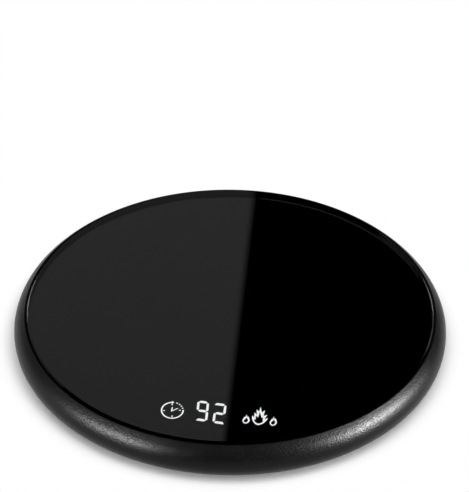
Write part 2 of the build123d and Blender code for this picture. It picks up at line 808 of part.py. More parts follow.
with BuildPart() as display_diffuser:
    with BuildSketch(Plane.XY.offset(light_box_top_z)):
        add(display_outline(diffuser_inset))
    extrude(amount=diffuser_thickness)
display_diffuser.part.label = "display_diffuser"
export_step(display_diffuser.part, "parts/display_diffuser.step")

tail_y = light_box_inner_y + touch_tail_gap + touch_film_thickness / 2
tail_top_z = film_seat_z + touch_film_thickness / 2
tail_end_z = board_top_z + touch_tail_height
touch_socket_y = tail_y + touch_film_thickness / 2 + touch_socket_gap
tail_end_y = touch_socket_y + touch_tail_entry

with BuildPart() as touch_film:
    with BuildSketch(Plane.XY.offset(film_seat_z)):
        add(display_outline(0))
        with Locations((timer_window_x, display_y)):
            Circle(timer_window_radius + touch_margin, mode=Mode.SUBTRACT)
        with Locations((0, display_y)):
            Rectangle(
                digit_pitch + digit_width + 2 * touch_margin, digit_height + 2 * touch_margin,
                mode=Mode.SUBTRACT,
            )
        with Locations((flame_window_x, display_y)):
            Rectangle(
                2 * small_flame_offset[0] + small_flame_window[0] + 2 * touch_margin,
                flame_window[1] + 2 * touch_margin,
                mode=Mode.SUBTRACT,
            )
    extrude(amount=touch_film_thickness)
    with BuildSketch(Plane.YZ.offset(touch_tail_x)):
        with BuildLine():
            FilletPolyline(
                (light_box_inner_y - touch_tail_gap, tail_top_z),
                (tail_y, tail_top_z),
                (tail_y, tail_end_z),
                (tail_end_y, tail_end_z),
                radius=touch_tail_bend,
            )
        trace(line_width=touch_film_thickness)
    extrude(amount=touch_tail_width / 2, both=True)
touch_film.part.label = "touch_film"
export_step(touch_film.part, "parts/touch_film.step")

with BuildPart() as touch_socket:
    with BuildSketch(Plane.XY.offset(board_top_z)):
        with Locations((touch_tail_x, touch_socket_y)):
            Rectangle(*touch_socket_size[:2], align=(Align.CENTER, Align.MIN))
    extrude(amount=touch_socket_size[2])
    with BuildSketch(Plane.XZ.offset(-touch_socket_y)):
        with Locations((touch_tail_x, tail_end_z)):
            Rectangle(
                touch_tail_width + 2 * touch_slot_clearance,
                touch_film_thickness + 2 * touch_slot_clearance,
            )
    extrude(amount=-(touch_tail_entry + touch_slot_clearance), mode=Mode.SUBTRACT)
touch_socket.part.label = "touch_socket"
export_step(touch_socket.part, "parts/touch_socket.step")

with BuildPart() as controller_chip:
    with BuildSketch(Plane.XY.offset(board_bottom_z)):
        controller_y = -board_inner_radius - controller_edge_gap - controller_size[1] / 2
        with Locations((controller_x, controller_y)):
            Rectangle(*controller_size[:2])
    extrude(amount=-controller_size[2])
controller_chip.part.label = "controller_chip"
export_step(controller_chip.part, "parts/controller_chip.step")

resistor_circle_radius = board_outer_radius - resistor_edge_gap - resistor_size[0] / 2
with BuildPart() as chip_resistors:
    with BuildSketch(Plane.XY.offset(board_bottom_z)):
        with Locations(*around(resistor_circle_radius, resistor_angles)):
            Rectangle(*resistor_size[:2])
    extrude(amount=-resistor_size[2])
chip_resistors.part.label = "chip_resistors"
export_step(chip_resistors.part, "parts/chip_resistors.step")

# ------------------------------------------------------------------ power board

power_board = board(power_board_angle, rear_board_screw_angles)
power_board.label = "power_board"
export_step(power_board, "parts/power_board.step")

with BuildPart() as power_jack:
    with BuildSketch(Plane.XZ.offset(-jack_body_back_y)):
        with Locations((0, jack_axis_z)):
            RectangleRounded(jack_width, jack_height, jack_edge)
    extrude(amount=-jack_body_length)
    with BuildSketch(Plane.XZ.offset(-jack_body_front_y)):
        with Locations((0, jack_axis_z)):
            Circle(jack_nose_radius)
    extrude(amount=jack_body_front_y - jack_mouth_y)
    with BuildSketch(Plane.XZ.offset(-jack_mouth_y)):
        with Locations((0, jack_axis_z)):
            Circle(jack_bore_radius)
    extrude(amount=jack_bore_length, mode=Mode.SUBTRACT)
    with BuildSketch(Plane.XZ.offset(-jack_bore_end_y)):
        with Locations((0, jack_axis_z)):
            Circle(jack_pin_root_radius)
    extrude(amount=jack_pin_root_length, mode=Mode.SUBTRACT)
power_jack.part.label = "power_jack"
export_step(power_jack.part, "parts/power_jack.step")

with BuildPart() as jack_pin:
    with BuildSketch(Plane.XZ.offset(-jack_bore_end_y)):
        with Locations((0, jack_axis_z)):
            Circle(jack_pin_radius)
    extrude(amount=jack_pin_setback - jack_bore_length)
    chamfer(jack_pin.edges().sort_by(Axis.Y)[-1], jack_pin_chamfer)
    with BuildSketch(Plane.XZ.offset(-jack_bore_end_y)):
        with Locations((0, jack_axis_z)):
            Circle(jack_pin_root_radius)
    extrude(amount=jack_pin_root_length)
jack_pin.part.label = "jack_pin"
export_step(jack_pin.part, "parts/jack_pin.step")

with BuildPart() as jack_terminals:
    with BuildSketch(Plane.XY.offset(board_top_z)):
        with Locations((0, jack_body_back_y - jack_terminal[1] / 2)):
            with GridLocations(jack_terminal_spacing, 0, 2, 1):
                Rectangle(*jack_terminal[:2])
    extrude(amount=jack_terminal[2])
jack_terminals.part.label = "jack_terminals"
export_step(jack_terminals.part, "parts/jack_terminals.step")

choke_place = near_rim(choke_x, choke_inset)
with BuildPart() as choke:
    with BuildSketch(Plane.XY.offset(board_top_z)):
        with Locations(choke_place):
            RectangleRounded(*choke_size[:2], choke_corner)
    extrude(amount=choke_size[2])
    with BuildSketch(Plane.XY.offset(board_top_z + choke_size[2])):
        with Locations(choke_place):
            Circle(choke_core_radius)
    extrude(amount=-choke_core_recess, mode=Mode.SUBTRACT)
choke.part.label = "choke"
export_step(choke.part, "parts/choke.step")

transistor_circle_radius = board_inner_radius + transistor_edge_gap + transistor_size[0] / 2
with BuildPart() as drive_transistor:
    with BuildSketch(Plane.XY.offset(board_top_z)):
        with Locations(*around(transistor_circle_radius, (transistor_angle,))):
            Rectangle(*transistor_size[:2])
    extrude(amount=transistor_size[2])
drive_transistor.part.label = "drive_transistor"
export_step(drive_transistor.part, "parts/drive_transistor.step")

capacitor_places = [near_rim(x, inset) for x, inset in zip(capacitor_x, capacitor_inset)]
capacitor_base_width = 2 * (capacitor_radius + capacitor_base_margin)
with BuildPart() as filter_capacitors:
    with BuildSketch(Plane.XY.offset(board_top_z)):
        with Locations(*capacitor_places):
            RectangleRounded(capacitor_base_width, capacitor_base_width, capacitor_base_corner)
    extrude(amount=capacitor_base_height)
    with BuildSketch(Plane.XY.offset(board_top_z)):
        with Locations(*capacitor_places):
            Circle(capacitor_radius)
    extrude(amount=capacitor_height)
    chamfer(filter_capacitors.edges().group_by(Axis.Z)[-1], capacitor_edge)
filter_capacitors.part.label = "filter_capacitors"
export_step(filter_capacitors.part, "parts/filter_capacitors.step")

buzzer_circle_radius = board_inner_radius + buzzer_edge_gap + buzzer_radius
with BuildPart() as buzzer:
    with BuildSketch(Plane.XY.offset(board_top_z)):
        with Locations(*around(buzzer_circle_radius, (buzzer_angle,))):
            Circle(buzzer_radius)
    extrude(amount=buzzer_height)
    with BuildSketch(Plane.XY.offset(board_top_z + buzzer_height)):
        with Locations(*around(buzzer_circle_radius, (buzzer_angle,))):
            Circle(buzzer_hole_radius)
    extrude(amount=-buzzer_height / 2, mode=Mode.SUBTRACT)
buzzer.part.label = "buzzer"
export_step(buzzer.part, "parts/buzzer.step")

# ------------------------------------------------------------------ sockets and wires

rear_link_angle = power_board_angle - link_socket_half_angle
front_link_angle = display_board_angle - 360 + link_socket_half_angle

with BuildPart() as heater_socket:
    with Locations(*around(socket_circle_radius, (heater_socket_angle,), board_top_z)):
        add(socket(heater_socket_width))
heater_socket.part.label = "heater_socket"
export_step(heater_socket.part, "parts/heater_socket.step")

with BuildPart() as sensor_socket:
    with Locations(*around(socket_circle_radius, (sensor_socket_angle,), board_top_z)):
        add(socket(sensor_socket_width))
sensor_socket.part.label = "sensor_socket"
export_step(sensor_socket.part, "parts/sensor_socket.step")

# The mouths of the two link sockets face each other round the right-hand side.
with BuildPart() as link_sockets:
    with Locations(*around(socket_circle_radius, (rear_link_angle,), board_top_z, 90)):
        add(socket(link_socket_width))
    with Locations(*around(socket_circle_radius, (front_link_angle,), board_top_z, -90)):
        add(socket(link_socket_width))
link_sockets.part.label = "link_sockets"
export_step(link_sockets.part, "parts/link_sockets.step")

socket_z = board_top_z + socket_height / 2
wire_end_radius = socket_mouth_radius + wire_entry
wire_turn_radius = socket_mouth_radius - wire_lead

with BuildPart() as sensor_leads:
    for side in (-sensor_wire_spacing / 2, sensor_wire_spacing / 2):
        route = (
            on_circle(sensor_length / 2, sensor_slot_angle, sensor_z, side),
            on_circle(wire_turn_radius - sensor_wire_drop, sensor_slot_angle, sensor_z, side),
            on_circle(wire_turn_radius, sensor_slot_angle, socket_z, side),
            on_circle(wire_end_radius, sensor_slot_angle, socket_z, side),
        )
        add(wire(route, sensor_wire_radius, sensor_wire_bend))
sensor_leads.part.label = "sensor_leads"
export_step(sensor_leads.part, "parts/sensor_leads.step")

# One wire runs from the film's left pad, one from the cut-out, and a link joins the other pad to it.
solder_z = track_bottom_z - heater_wire_radius
solder_y = insulation_radius + heater_wire_radius + insulation_wire_gap
wire_z = solder_z - heater_wire_drop
left_wire = (
    (-tail_x, solder_y, solder_z),
    (-tail_x, wire_turn_radius, wire_z),
    on_circle(wire_turn_radius, heater_socket_angle, socket_z, heater_wire_spacing / 2),
    on_circle(wire_end_radius, heater_socket_angle, socket_z, heater_wire_spacing / 2),
)
cutout_wire = (
    (cutout_x + cutout_wire_spacing / 2, cutout_end_y, wire_z),
    (cutout_x + cutout_wire_spacing / 2, insulation_radius, wire_z),
    on_circle(wire_turn_radius, heater_socket_angle, socket_z, -heater_wire_spacing / 2),
    on_circle(wire_end_radius, heater_socket_angle, socket_z, -heater_wire_spacing / 2),
)
pad_link = (
    (cutout_x - cutout_wire_spacing / 2, cutout_end_y, wire_z),
    (cutout_x - cutout_wire_spacing / 2, insulation_radius - cutout_edge, wire_z),
    (tail_x - solder_inset, solder_y + solder_rise, solder_z),
)
with BuildPart() as heater_wires:
    for route in (left_wire, cutout_wire, pad_link):
        add(wire(route, heater_wire_radius, wire_bend))
heater_wires.part.label = "heater_wires"
export_step(heater_wires.part, "parts/heater_wires.step")

cable_floor_z = floor_top_z + link_cable_radius + link_cable_floor_gap
cable_entry = socket_length / 2 - wire_entry
link_route = (
    on_circle(socket_circle_radius, rear_link_angle, socket_z, -cable_entry),
    on_circle(socket_circle_radius, rear_link_angle, socket_z, -link_cable_lead),
    *[on_circle(link_cable_circle_radius, angle, cable_floor_z) for angle in link_cable_turns],
    on_circle(socket_circle_radius, front_link_angle, socket_z, link_cable_lead),
    on_circle(socket_circle_radius, front_link_angle, socket_z, cable_entry),
)
link_cable = wire(link_route, link_cable_radius, link_cable_bend)
link_cable.label = "link_cable"
export_step(link_cable, "parts/link_cable.step")
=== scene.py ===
"""Electric mug warmer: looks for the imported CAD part, in metres, in the part's own frame."""
from math import cos, radians, sin, tau

import bmesh
import bpy
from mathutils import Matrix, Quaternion, Vector
from mathutils.geometry import tessellate_polygon

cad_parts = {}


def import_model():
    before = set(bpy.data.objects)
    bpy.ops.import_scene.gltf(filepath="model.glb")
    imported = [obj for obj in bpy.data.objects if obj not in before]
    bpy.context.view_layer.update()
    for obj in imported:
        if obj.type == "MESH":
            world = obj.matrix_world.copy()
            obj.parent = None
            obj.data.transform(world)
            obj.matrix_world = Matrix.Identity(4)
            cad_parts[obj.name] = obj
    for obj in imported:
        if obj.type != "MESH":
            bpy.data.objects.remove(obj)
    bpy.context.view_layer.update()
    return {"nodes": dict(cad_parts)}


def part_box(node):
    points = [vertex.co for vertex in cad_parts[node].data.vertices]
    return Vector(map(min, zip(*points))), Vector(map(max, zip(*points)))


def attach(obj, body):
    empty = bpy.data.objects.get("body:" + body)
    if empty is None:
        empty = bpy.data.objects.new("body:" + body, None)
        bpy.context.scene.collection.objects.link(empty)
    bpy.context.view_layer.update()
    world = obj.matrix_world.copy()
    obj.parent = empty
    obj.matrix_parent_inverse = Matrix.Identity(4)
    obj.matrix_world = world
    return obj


MM = 0.001

# A pattern goes from one look to the other between these values, unless its material says otherwise
pattern_low, pattern_high = 0.3, 0.7

# How far the roughness of a moulded or metal finish goes below and above its usual value
moulded_smooth, moulded_rough = 0.92, 1.08
metal_smooth, metal_rough = 0.8, 1.2

# Glass: ground where the upright part of its normal is below the first value, and polished where
# that is above the second
ground_below, polished_above = 0.9, 0.98
ground_roughness = 0.12

# Display, all on the underside of the glass
ink_bottom, ink_top = 11.53 * MM, 11.56 * MM
symbol_bottom, symbol_top = 11.57 * MM, 11.58 * MM
ink_edge_gap = 0.5 * MM
symbol_turn = radians(7)
ink_corners, arc_steps, dot_corners = 180, 56, 16

# Bars of the digits: half widths, and the gap at a corner, in millimetres
flat_bar, upright_bar, bar_gap = 0.48, 0.34, 0.13

# The right small flame is the left one again, this far to the right, in millimetres
flames_apart = 7.75

# Camera, found from the ellipses of the glass edge and the widest circle of the rim; it aims to
# the right of the rim's centre and above it
rim_centre = Vector((0, 0, 8.4 * MM))
camera_distance = 0.700
camera_elevation = radians(38.61)
camera_turn = radians(5.8)
camera_roll = radians(0.706)
camera_lens, camera_sensor = 169.62, 36
aim_right, aim_up = 1.02 * MM, 23.35 * MM

# World: strength of its light on the object
fill_light = 0.2

# Floor: its paper, the glow that the camera alone sees added to it, and the two radii about the
# middle of the shadow between which it goes to pure white
floor_radius = 3.5
floor_colour, floor_roughness = (0.86, 0.86, 0.86, 1), 0.9
floor_glow = 0.14
shadow_centre = (-0.8 * MM, 5.3 * MM, 0)
shaded_radius, white_radius = 65.5 * MM, 71.5 * MM

# Hood: the grey card on it is behind the object, on the side that this normal of a plane through
# the middle points to, and fades in over a short way
hood_radius = 3.0
card_side = (-1.0, -0.028, -0.081)
card_fade = 12 * MM
card_grey = 0.175

# Lamps: each one's direction from the rim's centre, its width and height, and its watts
lamp_distance = 1.2
top_lamp = ((0.11, -0.55, 0.828), (0.75, 0.75), 13.4)
strip_lamps = {
    "left_strip": ((-0.686, -0.662, 0.301), (0.8, 0.36), 52),
    "right_strip": ((0.934, -0.181, 0.309), (0.6, 0.25), 105),
}

# Flags: the two ends of each card on the floor
flag_height = 75 * MM
flag_ends = {
    "right_rear_flag": ((0.15, -0.015), (0.19, 0.25)),
    "right_front_flag": ((0.106, -0.086), (0.075, -0.25)),
    "left_front_flag": ((-0.047, -0.110), (0.031, -0.191)),
}

# Moulded finishes: dark and light colour, roughness, and the size of the grain if it isn't usual
moulded_looks = {
    "base_plastic": ((0.016, 0.016, 0.018), (0.024, 0.024, 0.026), 0.5),
    "foot_rubber": ((0.02, 0.02, 0.021), (0.035, 0.035, 0.036), 0.75, 0.5 * MM),
    "silicone_pad": ((0.5, 0.53, 0.57), (0.62, 0.64, 0.67), 0.6, 0.6 * MM),
    "jack_plastic": ((0.02, 0.02, 0.02), (0.032, 0.032, 0.032), 0.42),
    "chip_epoxy": ((0.025, 0.025, 0.028), (0.042, 0.042, 0.046), 0.55, 0.15 * MM),
    "buzzer_plastic": ((0.03, 0.03, 0.03), (0.045, 0.045, 0.045), 0.5),
    "choke_ferrite": ((0.07, 0.07, 0.075), (0.13, 0.13, 0.14), 0.6, 0.3 * MM),
    "light_box_white": ((0.76, 0.76, 0.75), (0.83, 0.83, 0.82), 0.5),
    "socket_nylon": ((0.74, 0.72, 0.65), (0.84, 0.82, 0.76), 0.45),
    "diffuser_film": ((0.82, 0.82, 0.83), (0.88, 0.88, 0.88), 0.4, 0.5 * MM),
    "touch_polyester": ((0.42, 0.44, 0.42), (0.52, 0.54, 0.52), 0.3, 0.8 * MM),
    "led_resin": ((0.82, 0.76, 0.45), (0.92, 0.87, 0.6), 0.25, 0.4 * MM),
    "sensor_epoxy": ((0.03, 0.03, 0.035), (0.055, 0.055, 0.065), 0.25, 0.5 * MM),
    "cutout_ceramic": ((0.78, 0.76, 0.7), (0.86, 0.84, 0.79), 0.3, 0.6 * MM),
    "heater_wire_silicone": ((0.4, 0.03, 0.025), (0.52, 0.05, 0.04), 0.55),
    "sensor_wire_plastic": ((0.68, 0.67, 0.63), (0.77, 0.76, 0.72), 0.4),
    "cable_plastic": ((0.12, 0.12, 0.13), (0.17, 0.17, 0.18), 0.45),
}

# Metal finishes: dark and light colour, roughness, and the squeeze of the grain if it is brushed
metal_looks = {
    "plate_aluminium": ((0.68, 0.69, 0.7), (0.8, 0.8, 0.82), 0.28, (1, 12, 1)),
    "track_alloy": ((0.5, 0.46, 0.4), (0.62, 0.58, 0.52), 0.3),
    "plated_steel": ((0.55, 0.56, 0.58), (0.69, 0.7, 0.71), 0.32, (14, 1, 1)),
    "screw_steel": ((0.45, 0.46, 0.48), (0.6, 0.6, 0.62), 0.3),
    "contact_brass": ((0.68, 0.5, 0.22), (0.83, 0.67, 0.36), 0.22),
    "capacitor_can": ((0.66, 0.67, 0.69), (0.78, 0.78, 0.8), 0.25, (1, 1, 10)),
}


# ---------------------------------------------------------------- materials

class Tree:
    """The nodes of a material or of the world, with short ways to add some."""

    def __init__(self, owner):
        owner.use_nodes = True
        self.nodes = owner.node_tree.nodes
        self.links = owner.node_tree.links

    def feed(self, socket, value):
        """Links a socket to another node's output, or sets it to a number or a vector."""
        if isinstance(value, bpy.types.NodeSocket):
            self.links.new(value, socket)
        else:
            socket.default_value = value

    def result(self, kind, operation, values):
        """The outputs of a new node that works on the values."""
        node = self.nodes.new(kind)
        node.operation = operation
        for socket, value in zip(node.inputs, values):
            self.feed(socket, value)
        return node.outputs

    def number(self, operation, *values):
        """What a Math node makes of the values."""
        return self.result("ShaderNodeMath", operation, values)["Value"]

    def vector(self, operation, *values):
        """What a Vector Math node makes of the values: a vector, or a number under Value."""
        return self.result("ShaderNodeVectorMath", operation, values)

    def ranged(self, value, source, target, interpolation="LINEAR"):
        """A value moved from one range to another, and kept inside it."""
        node = self.nodes.new("ShaderNodeMapRange")
        node.interpolation_type = interpolation
        node.inputs["From Min"].default_value, node.inputs["From Max"].default_value = source
        node.inputs["To Min"].default_value, node.inputs["To Max"].default_value = target
        self.links.new(value, node.inputs["Value"])
        return node.outputs["Result"]


class Shader(Tree):
    """A Principled material whose colour, roughness and relief come from procedural patterns."""

    def __init__(self, name, roughness, metallic=0.0):
        self.material = bpy.data.materials.new(name)
        super().__init__(self.material)
        self.main = self.nodes["Principled BSDF"]
        self.main.inputs["Roughness"].default_value = roughness
        self.main.inputs["Metallic"].default_value = metallic
        coordinates = self.nodes.new("ShaderNodeTexCoord")
        self.place = coordinates.outputs["Object"]
        self.normal = coordinates.outputs["Normal"]

    def stretched(self, scale):
        """The object's own coordinates, scaled along each axis."""
        mapping = self.nodes.new("ShaderNodeMapping")
        mapping.inputs["Scale"].default_value = scale
        self.links.new(self.place, mapping.inputs["Vector"])
        return mapping.outputs["Vector"]

    def noise(self, size, detail=3.0, place=None):
        """Noise whose features are about size metres across."""
        node = self.nodes.new("ShaderNodeTexNoise")
        node.inputs["Scale"].default_value = 1 / size
        node.inputs["Detail"].default_value = detail
        self.links.new(place or self.place, node.inputs["Vector"])
        return node.outputs["Fac"]

    def cells(self, size, feature="F1"):
        """Voronoi cells about size metres across."""
        node = self.nodes.new("ShaderNodeTexVoronoi")
        node.feature = feature
        node.inputs["Scale"].default_value = 1 / size
        self.links.new(self.place, node.inputs["Vector"])
        return node.outputs["Distance"]

    def blend(self, factor, dark, light, low=pattern_low, high=pattern_high):
        """A colour between two, following a pattern."""
        ramp = self.nodes.new("ShaderNodeValToRGB")
        start, end = ramp.color_ramp.elements
        start.position, end.position = low, high
        start.color, end.color = (*dark, 1), (*light, 1)
        self.links.new(factor, ramp.inputs["Fac"])
        return ramp.outputs["Color"]

    def paint(self, factor, dark, light, low=pattern_low, high=pattern_high):
        """The base colour, between two."""
        colour = self.blend(factor, dark, light, low, high)
        self.links.new(colour, self.main.inputs["Base Color"])

    def gloss(self, factor, smooth, rough):
        """Roughness between two values, following a pattern."""
        return self.ranged(factor, (pattern_low, pattern_high), (smooth, rough))

    def polish(self, factor, smooth, rough):
        """Gives the material such a roughness."""
        self.links.new(self.gloss(factor, smooth, rough), self.main.inputs["Roughness"])

    def relief(self, factor, height, strength=1.0):
        """Bumps of the given height in metres."""
        node = self.nodes.new("ShaderNodeBump")
        node.inputs["Distance"].default_value = height
        node.inputs["Strength"].default_value = strength
        self.links.new(factor, node.inputs["Height"])
        self.links.new(node.outputs["Normal"], self.main.inputs["Normal"])


def moulded(name, dark, light, roughness, grain=0.25 * MM):
    """Moulded plastic, rubber or resin: fine spark texture and slightly uneven gloss."""
    shader = Shader(name, roughness)
    shader.paint(shader.noise(4 * MM), dark, light)
    shader.polish(shader.noise(9 * MM), roughness * moulded_smooth, roughness * moulded_rough)
    shader.relief(shader.noise(grain, detail=2.0), height=0.006 * MM)
    return shader.material


def metal(name, dark, light, roughness, stretch=(1, 1, 1)):
    """Bare or plated metal, brushed where stretch isn't even."""
    shader = Shader(name, roughness, metallic=1.0)
    grain = shader.noise(0.4 * MM, detail=4.0, place=shader.stretched(stretch))
    shader.paint(grain, dark, light)
    shader.polish(grain, roughness * metal_smooth, roughness * metal_rough)
    shader.relief(grain, height=0.002 * MM)
    return shader.material


def rim_plastic():
    """Satin black with a fine sand texture, as spark erosion leaves it in the mould."""
    shader = Shader("rim_plastic", 0.3)
    shader.paint(shader.noise(3 * MM), (0.002, 0.002, 0.0022), (0.004, 0.004, 0.0044))
    sand = shader.noise(0.42 * MM, detail=0.0)
    shader.polish(sand, smooth=0.31, rough=0.46)
    shader.relief(sand, height=0.055 * MM)
    shader.main.inputs["Specular IOR Level"].default_value = 0.12
    return shader.material


def top_glass():
    """Clear glass with polished faces and a ground edge; the black below it is ink."""
    shader = Shader("top_glass", 0.02)
    shader.paint(shader.noise(30 * MM), (0.93, 0.95, 0.95), (0.96, 0.97, 0.97))
    normal = shader.nodes.new("ShaderNodeSeparateXYZ")
    shader.links.new(shader.normal, normal.inputs[0])
    upright = shader.number("ABSOLUTE", normal.outputs["Z"])
    ground = shader.ranged(upright, (ground_below, polished_above), (ground_roughness, 0))
    polished = shader.gloss(shader.noise(14 * MM, detail=5.0), smooth=0.004, rough=0.01)
    rougher = shader.number("MAXIMUM", ground, polished)
    shader.links.new(rougher, shader.main.inputs["Roughness"])
    shader.main.inputs["Transmission Weight"].default_value = 1.0
    shader.main.inputs["IOR"].default_value = 1.5
    return shader.material


def black_ink():
    """Screen-printed ink with a very fine mesh."""
    shader = Shader("black_ink", 0.6)
    shader.paint(shader.noise(0.3 * MM), (0.0006, 0.0006, 0.0007), (0.001, 0.001, 0.0011))
    shader.relief(shader.cells(0.12 * MM), height=0.002 * MM)
    shader.main.inputs["Specular IOR Level"].default_value = 0.0
    return shader.material


def lit_symbol():
    """White light through the windows in the ink, brighter in some places than in others."""
    shader = Shader("lit_symbol", 0.6)
    uneven = shader.noise(2.5 * MM)
    shader.paint(uneven, (0.25, 0.25, 0.26), (0.3, 0.3, 0.3))
    glow = shader.blend(uneven, (0.97, 0.98, 1.0), (1.0, 1.0, 1.0))
    shader.links.new(glow, shader.main.inputs["Emission Color"])
    shader.main.inputs["Emission Strength"].default_value = 0.98
    return shader.material


def circuit_board():
    """Green solder mask over tracks and a ground plane."""
    shader = Shader("board_laminate", 0.32)
    tracks = shader.cells(2.2 * MM, "DISTANCE_TO_EDGE")
    shader.paint(tracks, (0.012, 0.11, 0.045), (0.028, 0.19, 0.08), low=0.05, high=0.12)
    shader.relief(tracks, height=0.03 * MM, strength=0.6)
    return shader.material


def felt():
    """Ceramic felt: matted fibres."""
    shader = Shader("felt_white", 0.95)
    fibres = shader.noise(0.5 * MM, detail=6.0, place=shader.stretched((1, 3.5, 1)))
    shader.paint(fibres, (0.68, 0.66, 0.61), (0.84, 0.82, 0.78))
    shader.relief(fibres, height=0.12 * MM)
    shader.main.inputs["Sheen Weight"].default_value = 0.3
    return shader.material


def foam():
    """Closed-cell foam."""
    shader = Shader("gasket_foam", 0.9)
    bubbles = shader.cells(0.35 * MM)
    shader.paint(bubbles, (0.03, 0.03, 0.03), (0.06, 0.06, 0.06))
    shader.relief(bubbles, height=0.08 * MM)
    return shader.material


def amber_film():
    """Polyimide film over etched foil."""
    shader = Shader("film_polyimide", 0.22)
    shader.paint(shader.noise(6 * MM), (0.36, 0.15, 0.02), (0.5, 0.24, 0.045))
    shader.relief(shader.noise(8 * MM, detail=2.0), height=0.05 * MM, strength=0.4)
    shader.main.inputs["Coat Weight"].default_value = 0.4
    return shader.material


def resistor_glaze():
    """Ceramic chip with a mottled glaze."""
    shader = Shader("resistor_ceramic", 0.3)
    shader.paint(shader.noise(0.5 * MM, detail=4.0), (0.03, 0.03, 0.035), (0.09, 0.09, 0.1))
    shader.relief(shader.noise(0.3 * MM), height=0.01 * MM)
    return shader.material


def object_materials():
    """Every finish, by the record's slot."""
    finishes = {
        "rim_plastic": rim_plastic(),
        "top_glass": top_glass(),
        "board_laminate": circuit_board(),
        "felt_white": felt(),
        "gasket_foam": foam(),
        "film_polyimide": amber_film(),
        "resistor_ceramic": resistor_glaze(),
    }
    for slot, look in moulded_looks.items():
        finishes[slot] = moulded(slot, *look)
    for slot, look in metal_looks.items():
        finishes[slot] = metal(slot, *look)
    return finishes


def dress_nodes(frame, finishes):
    """Gives each CAD node the finish of its record's slot."""
    for node in frame["nodes"].values():
        for slot in node.material_slots:
            slot.material = finishes[slot.material.name.split(".")[0]]


# ---------------------------------------------------------------- pieces

def new_object(name, mesh, material):
    """An object in the scene, made from a bmesh that isn't used again."""
    data = bpy.data.meshes.new(name)
    mesh.to_mesh(data)
    mesh.free()
    data.materials.append(material)
    thing = bpy.data.objects.new(name, data)
    bpy.context.scene.collection.objects.link(thing)
    return thing


def flat_piece(name, shapes, bottom, top, finish):
    """A thin printed piece; a shape is an outer loop and its holes, in (x, y) points in metres."""
    mesh = bmesh.new()
    for loops in shapes:
        flat = [[Vector((x, y, 0)) for x, y in loop] for loop in loops]
        points = [p for loop in flat for p in loop]
        lower = [mesh.verts.new((p.x, p.y, bottom)) for p in points]
        upper = [mesh.verts.new((p.x, p.y, top)) for p in points]
        for a, b, c in tessellate_polygon(flat):
            mesh.faces.new((upper[a], upper[b], upper[c]))
            mesh.faces.new((lower[c], lower[b], lower[a]))
        start = 0
        for loop in flat:
            ring = range(start, start + len(loop))
            for a, b in zip(ring, [*ring[1:], ring[0]]):
                mesh.faces.new((lower[a], lower[b], upper[b], upper[a]))
            start += len(loop)
    bmesh.ops.recalc_face_normals(mesh, faces=mesh.faces)
    piece = new_object(name, mesh, finish)
    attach(piece, "root")


def disc(centre, radius, count, stretch=1.0):
    """Points round a circle, or round an upright ellipse where it is stretched."""
    x, y = centre
    angles = [tau * i / count for i in range(count)]
    return [(x + radius * cos(a), y + stretch * radius * sin(a)) for a in angles]


def dash(start, end, width):
    """A bar with square ends between two points in millimetres."""
    along = (Vector(end) - Vector(start)).normalized() * width / 2
    side = Vector((-along.y, along.x))
    first, last = Vector(start) - along, Vector(end) + along
    return [tuple(p) for p in (first - side, last - side, last + side, first + side)]


def arc_band(centre, half_width, half_height, stroke, start, end):
    """A stroke along an ellipse turned as the symbols are, between two angles in degrees."""
    angles = [radians(start + (end - start) * i / arc_steps) for i in range(arc_steps + 1)]

    def edge(offset, angle):
        across, along = (half_width + offset) * cos(angle), (half_height + offset) * sin(angle)
        return (
            centre[0] + across * cos(symbol_turn) - along * sin(symbol_turn),
            centre[1] + across * sin(symbol_turn) + along * cos(symbol_turn),
        )

    outer = [edge(stroke / 2, a) for a in angles]
    inner = [edge(-stroke / 2, a) for a in reversed(angles)]
    return outer + inner


def lit_piece(name, shapes, finish):
    """A symbol of the display; its points are in millimetres."""
    metres = [[[(x * MM, y * MM) for x, y in loop] for loop in loops] for loops in shapes]
    flat_piece(name, metres, symbol_bottom, symbol_top, finish)


def timer_symbol(finish):
    """A clock face whose ring ends in an arrow head, with four dots where the ring is open."""
    ring = arc_band(
        (-11.5, -47.2), half_width=3.07, half_height=3.43, stroke=0.44, start=90, end=362,
    )
    arrow_head = [(-12.15, -43.15), (-11.35, -43.7), (-12.0, -44.3)]
    top_tick = dash((-11.92, -44.35), (-11.87, -44.85), width=0.3)
    minute_hand = dash((-11.68, -47.5), (-11.65, -46.1), width=0.36)
    hour_hand = dash((-11.5, -47.4), (-10.15, -46.25), width=0.32)
    left_tick = dash((-13.97, -47.62), (-13.75, -47.59), width=0.32)
    right_tick = dash((-9.48, -46.97), (-9.26, -46.94), width=0.32)
    bottom_tick = dash((-11.28, -49.65), (-11.24, -49.95), width=0.34)
    dot_places = [(-10.55, -43.95), (-9.75, -44.45), (-9.15, -45.15), (-8.7, -46.0)]
    dots = [disc(place, radius=0.22, count=dot_corners, stretch=1.3) for place in dot_places]
    loops = [
        ring, arrow_head, top_tick, minute_hand, hour_hand, left_tick, right_tick, bottom_tick,
        *dots,
    ]
    lit_piece("timer_symbol", [[loop] for loop in loops], finish)


def digit_bar(start, end, half_width, lean_start=0, lean_end=0):
    """One bar of a digit, pointed at both ends; a lean moves a point towards one side."""
    start, end = Vector(start), Vector(end)
    along = (end - start).normalized()
    side = Vector((-along.y, along.x)) * half_width
    tip_a, tip_b = start + along * bar_gap, end - along * bar_gap
    shoulder_a, shoulder_b = tip_a + along * half_width, tip_b - along * half_width
    corners = (
        tip_a + side * lean_start, shoulder_a - side, shoulder_b - side,
        tip_b + side * lean_end, shoulder_b + side, shoulder_a + side,
    )
    return [tuple(p) for p in corners]


def digit(name, corners, bars, finish):
    """A seven-bar digit; corners are the crossings of the bars' middle lines."""
    shapes = [[digit_bar(corners[a], corners[b], *form)] for a, b, *form in bars]
    lit_piece(name, shapes, finish)


